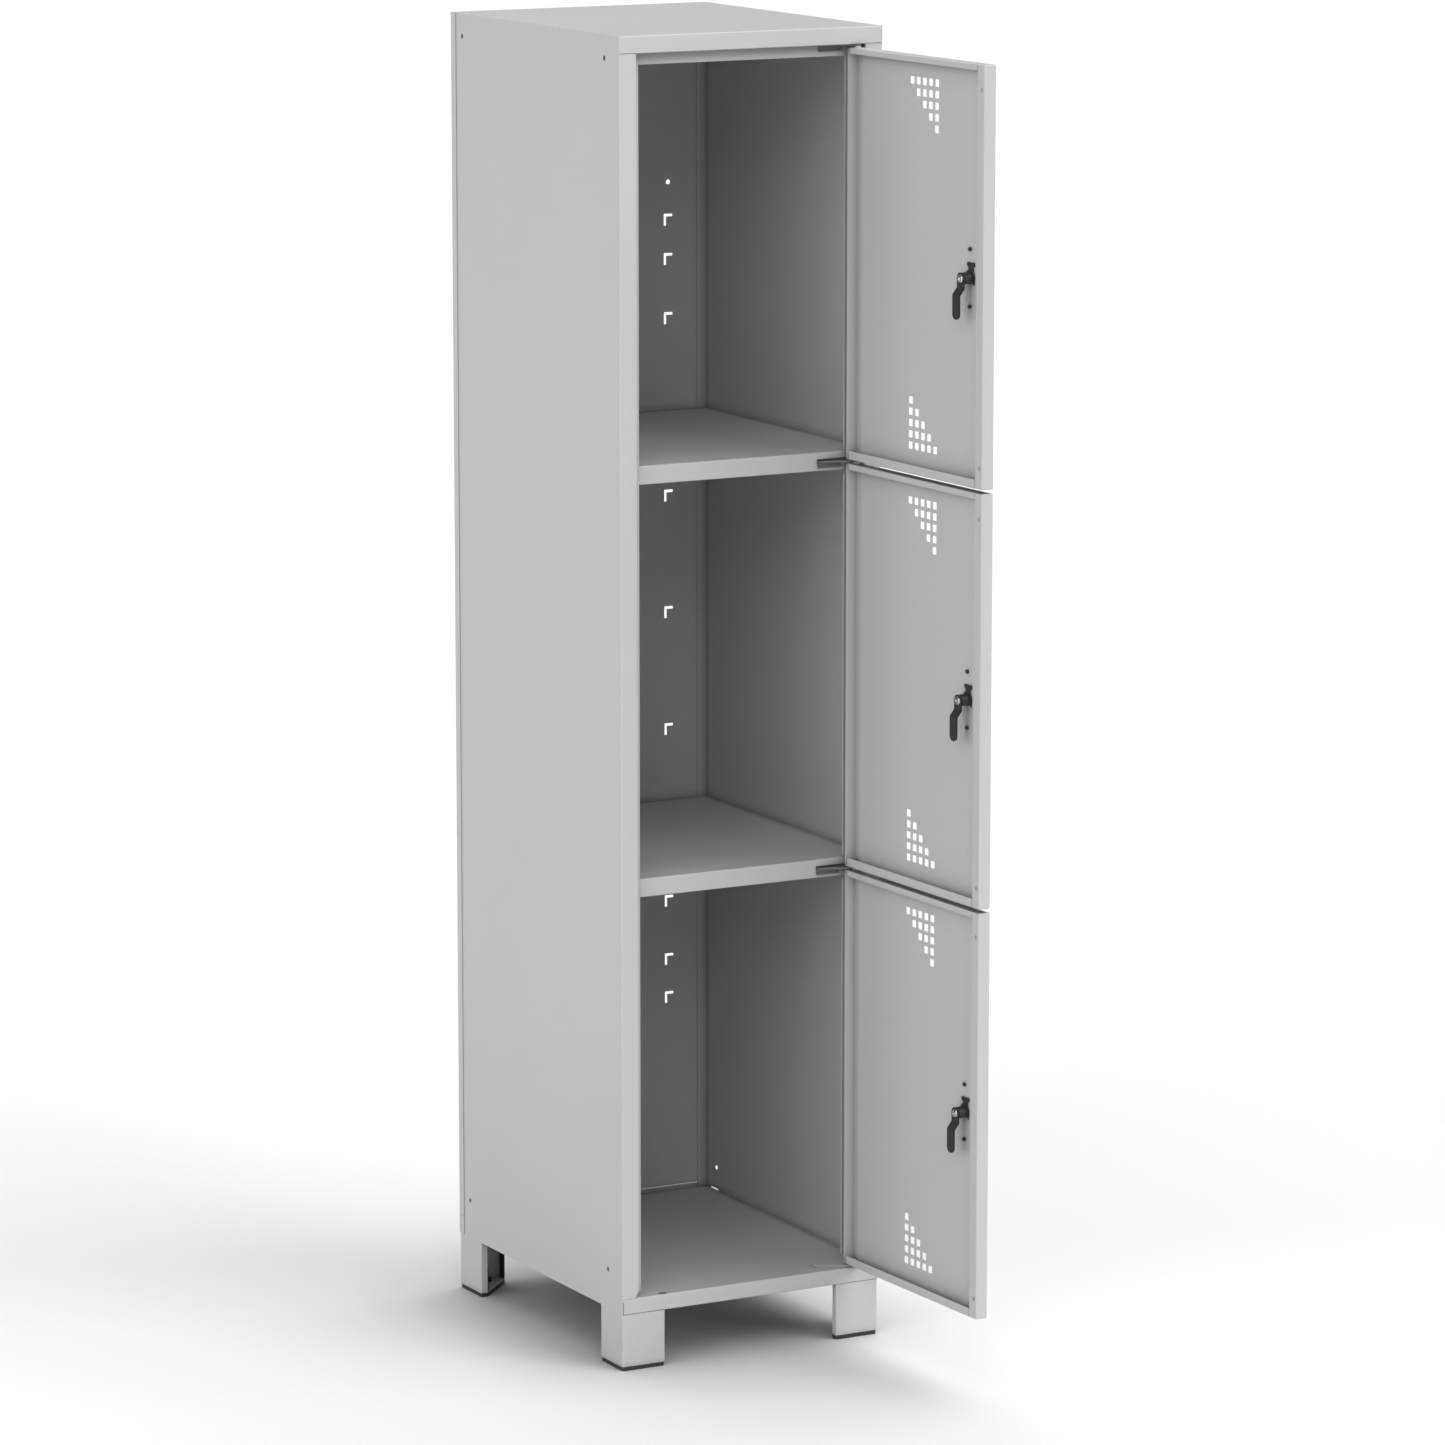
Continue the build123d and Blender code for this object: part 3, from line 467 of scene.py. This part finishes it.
on_all(extrude, z=CLIP_THICK)
on_all(bpy.ops.mesh.normals_make_consistent, inside=False)
bpy.ops.object.mode_set(mode="OBJECT")
apply_modifier("BEVEL", width=CLIP_ROUND, segments=2, limit_method="ANGLE",
               angle_limit=math.radians(ROUND_EDGE))
bpy.ops.object.shade_smooth_by_angle(angle=math.radians(CLIP_EDGE))
fit_to_locks(clip, "sprung_clip", "door", "black_steel", "lock_clip")

# %% [markdown]
# ## The nut that holds the cam
# On the inside of each open door the brightest thing is the zinc nut on the cam. A six-sided
# cylinder is the start of a nut. Its corners could be taken off by cutting a cone with bisect,
# which is long, so here the top is inset and lifted instead: the ring that is left is the
# chamfer. A second inset pulls the screw's end out of it, and a sprung washer lies underneath.

# %% The nut by inset and extrude
NUT_SIDES = 6
NUT_R = 4.6 * MM
NUT_TALL = 3.0 * MM                 # with its washer
NUT_CHAMFER = 0.45 * MM
STUD_R = 2.3 * MM
STUD_TALL = 0.4 * MM
WASHER_THICK = 0.7 * MM
CAM_FACE = 2.5 * MM                 # the cam's face, from the lock joint's place
UPWARDS = 0.9                       # a face whose normal has this much of Z looks up

clear_bench()
bpy.ops.mesh.primitive_cylinder_add(vertices=NUT_SIDES, radius=NUT_R, depth=NUT_TALL - WASHER_THICK,
                                    location=(0, 0, CAM_FACE + (NUT_TALL + WASHER_THICK) / 2))
nut = bpy.context.object
bpy.ops.object.transform_apply(location=True)
bpy.ops.object.mode_set(mode="EDIT")
pick("FACE", lambda face: face.normal.z > UPWARDS)
bpy.ops.mesh.inset(thickness=NUT_CHAMFER, depth=NUT_CHAMFER / 2)
bpy.ops.mesh.inset(thickness=NUT_R - NUT_CHAMFER - STUD_R)
extrude(z=STUD_TALL)
bpy.ops.mesh.inset(thickness=NUT_CHAMFER, depth=NUT_CHAMFER / 2)
bpy.ops.object.mode_set(mode="OBJECT")
print("nut faces", len(nut.data.polygons))

# %% Its washer, turned and joined to it
WASHER_R = 5.6 * MM

washer = [(STUD_R, CAM_FACE), (WASHER_R, CAM_FACE), (WASHER_R, CAM_FACE + WASHER_THICK / 2),
          (WASHER_R - WASHER_THICK / 2, CAM_FACE + WASHER_THICK), (STUD_R, CAM_FACE + WASHER_THICK)]
ring = turned("ring", washer)
take_up(nut, ring)
bpy.ops.object.join()
fit_to_locks(nut, "cam_nut", "cam", "zinc_steel", "cam_screw")

# %% [markdown]
# ## The handle plate's screws
# Two screws hold the handle plate, one above and one below the lock. Outside they show a domed
# head with a cross recess, inside a blunt end in a pressed collar. The dome is a turned section
# like the barrel's. The recess could be painted, but light must fall into it, so a cross is cut
# by Boolean.

# %% One screw by spin
SCREW_R = 2.0 * MM
SCREW_HEAD_R = 3.6 * MM
SCREW_UNDER = -18.2 * MM            # under its head, from the lock joint's place
SCREW_TOP = -20.6 * MM
SCREW_END = -10.8 * MM
COLLAR_R = 2.7 * MM
COLLAR_FOOT = -13.95 * MM
SCREW_STEPS = 24
DOME_STEPS = 6

rises = [step * math.pi / 2 / DOME_STEPS for step in range(1, DOME_STEPS)]
dome = [(SCREW_HEAD_R * math.cos(rise), SCREW_UNDER - (SCREW_UNDER - SCREW_TOP) * math.sin(rise))
        for rise in rises]
section = [(0.0, SCREW_END), (COLLAR_R - CHAMFER, SCREW_END), (COLLAR_R, SCREW_END - CHAMFER),
           (COLLAR_R, COLLAR_FOOT), (SCREW_R, COLLAR_FOOT), (SCREW_R, SCREW_UNDER),
           (SCREW_HEAD_R, SCREW_UNDER), *dome, (0.0, SCREW_TOP)]
screw = turned("screw", section, SCREW_STEPS)
print("screw faces", len(screw.data.polygons))

# %% Its cross recess by Boolean
RECESS_LONG = 3.6 * MM
RECESS_WIDE = 0.9 * MM
RECESS_DEEP = 1.2 * MM

for long, wide in ((RECESS_LONG, RECESS_WIDE), (RECESS_WIDE, RECESS_LONG)):
    clear_bench()
    bpy.ops.mesh.primitive_cube_add(size=1.0, location=(0, 0, SCREW_TOP),
                                    scale=(long, wide, 2 * RECESS_DEEP))
    bar = bpy.context.object
    bpy.ops.object.transform_apply(location=True, scale=True)
    take_up(screw)
    apply_modifier("BOOLEAN", operation="DIFFERENCE", object=bar, solver="EXACT")
    bpy.data.objects.remove(bar)
print("with its recess", len(screw.data.polygons))

# %% A pair of screws for each door
SCREW_SPREAD = 38.0 * MM            # each side of the lock

screw.data.transform(Matrix.Translation((0.0, SCREW_SPREAD, 0.0)))
bpy.ops.object.mode_set(mode="EDIT")
on_all(bpy.ops.mesh.duplicate_move,
       TRANSFORM_OT_translate={"value": (0.0, -2 * SCREW_SPREAD, 0.0)})
bpy.ops.object.mode_set(mode="OBJECT")
fit_to_locks(screw, "plate_screws", "door", "black_steel", "handle_screws")

# %% [markdown]
# ## The studio
# The photograph is a cut-out on white, lit from all sides, with a broad pale shadow in front
# of the locker. A pale floor that runs far past the frame gives floor and background at once,
# and throws light up into the shadows. Lamps on stands would light it in patches, so the studio
# has very large, soft suns, which light the floor alike near and far. The side light skims past
# the opening and reaches no compartment. The strongest comes from the front right, where the
# open doors keep it out. Two stand behind, and push the shadow forward over the floor. Right
# under the locker the paper is dimmed by the same Ambient Occlusion that finds the seams.

# %% Floor
FLOOR_SIZE = 80.0                   # metres
PAPER = 0.70
PAPER_TOOTH = 400.0                 # grains to the metre
TOOTH_SHIFT = 0.005
PAPER_GLOSS = 0.9
# Painted shadow on the paper close under the locker: how far it looks, and how much white is left.
SHADE_REACH = 200.0 * MM
SHADE_SHARE = 0.3                   # of the paper's white that is left close under the locker

clear_bench()
bpy.ops.mesh.primitive_plane_add(size=FLOOR_SIZE, location=(0.0, 0.0, 0.0))
ground = bpy.context.object
ground.name = "studio_floor"
paper = Finish("studio_paper")
white = (PAPER, PAPER, PAPER)
tooth = paper.shades(paper.noise(PAPER_TOOTH), white, TOOTH_SHIFT)
# The paper's colour carries painted shadow close under the locker and its doors.
ground.data.materials.append(paper.surface(
    Base_Color=paper.paint_shade_where_shut_in(tooth, white, SHADE_REACH, SHADE_SHARE),
    Roughness=PAPER_GLOSS))
print("floor", FLOOR_SIZE, "m")

# %% Sky and suns
SKY = 0.04
SUN_SPREAD = 50.0                   # degrees, so that no shadow has a sharp edge
SUNS = {                            # degrees to the right of the front, degrees up, strength
    "side_sun": (-85.0, 15.0, 1.55), "low_sun": (-35.0, 15.0, 0.40),
    "left_sun": (-35.0, 40.0, 1.15), "right_sun": (36.0, 38.0, 2.50),
    "back_sun": (180.0, 40.0, 0.76), "top_sun": (110.0, 65.0, 1.42),
}

world = bpy.data.worlds.new("studio")
bpy.context.scene.world = world
world.use_nodes = True
sky = world.node_tree.nodes["Background"]
sky.inputs["Color"].default_value = (1.0, 1.0, 1.0, 1.0)
sky.inputs["Strength"].default_value = SKY


def sun(name, to_the_right, height, strength):
    """A soft light far away, so many degrees to the right of the front and up."""
    side, up = math.radians(to_the_right), math.radians(height)
    towards = Vector((math.sin(side) * math.cos(up), -math.cos(side) * math.cos(up), math.sin(up)))
    lamp = bpy.data.lights.new(name, "SUN")
    lamp.energy, lamp.angle = strength, math.radians(SUN_SPREAD)
    holder = bpy.data.objects.new(name, lamp)
    bpy.context.scene.collection.objects.link(holder)
    holder.rotation_euler = towards.to_track_quat("Z", "Y").to_euler()


for name, (to_the_right, height, strength) in SUNS.items():
    sun(name, to_the_right, height, strength)
print("suns", len(SUNS))

# %% [markdown]
# ## The camera
# The photograph was taken from the front left and a little above, with a long lens. A camera
# could be placed by eye, but the place, angles and lens below were fitted to the corners of the
# carcass and the doors, so the locker stands in the frame as it does in the photograph.

# %% Camera at the photograph's angle
CAMERA_PLACE = (-4.22629, -7.93660, 2.49422)    # metres
DOWN = 10.3993                      # degrees
TO_THE_RIGHT = 28.5458
LENS = 163.80                       # millimetres
SENSOR = 36.0
FAR = 200.0                         # metres, past which nothing is seen

camera = bpy.data.cameras.new("camera")
camera.lens, camera.sensor_width, camera.clip_end = LENS, SENSOR, FAR
viewer = bpy.data.objects.new("camera", camera)
bpy.context.scene.collection.objects.link(viewer)
viewer.location = CAMERA_PLACE
viewer.rotation_euler = (math.radians(90.0 - DOWN), 0.0, math.radians(-TO_THE_RIGHT))
bpy.context.scene.camera = viewer
bpy.context.scene.view_settings.view_transform = "Standard"
print("camera", round(viewer.location.length, 2), "m from the locker's foot")
